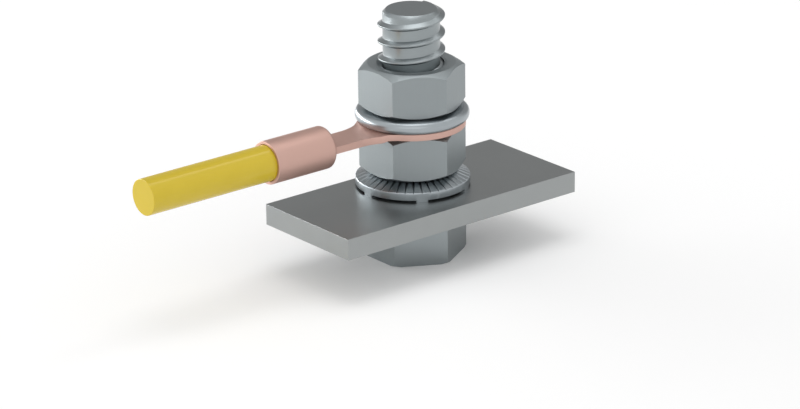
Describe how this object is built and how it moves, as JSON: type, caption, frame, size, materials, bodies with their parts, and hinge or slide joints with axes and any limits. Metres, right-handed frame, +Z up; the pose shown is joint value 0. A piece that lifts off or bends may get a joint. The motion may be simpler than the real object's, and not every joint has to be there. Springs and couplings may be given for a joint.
{
  "type": "earth terminal",
  "caption": "Earth terminal: a bolt clamps a steel bar and a toothed contact washer with one nut, and a cable lug under a spring washer with another.",
  "frame": {"origin": "on the bolt's axis at the end face of its head, which the terminal stands on", "axes": "+Z up the bolt's axis towards its threaded end; X along the mounting bar, the cable leaving towards -X; +Y towards the bar's edge nearer to the hole"},
  "size_m": [0.086, 0.0256, 0.0463],
  "materials": {
    "zinc_steel": "satin zinc-plated steel, pale blue-grey",
    "plate_steel": "smooth cold-rolled steel bar, glossy and slightly mirror-like",
    "washer_steel": "polished zinc-plated spring steel",
    "lug_copper": "satin bare copper, pinkish",
    "strand_copper": "bright drawn copper wire, hidden inside the sheath",
    "sheath_plastic": "smooth yellow cable insulation with a soft sheen"
  },
  "bodies": {
    "root": {"hex_bolt": "zinc_steel", "mounting_plate": "plate_steel", "contact_washer": "washer_steel", "lower_nut": "zinc_steel", "cable_lug": "lug_copper", "spring_washer": "washer_steel", "upper_nut": "zinc_steel", "cable_sheath": "sheath_plastic", "cable_conductor": "strand_copper"}
  },
  "joints": []
}
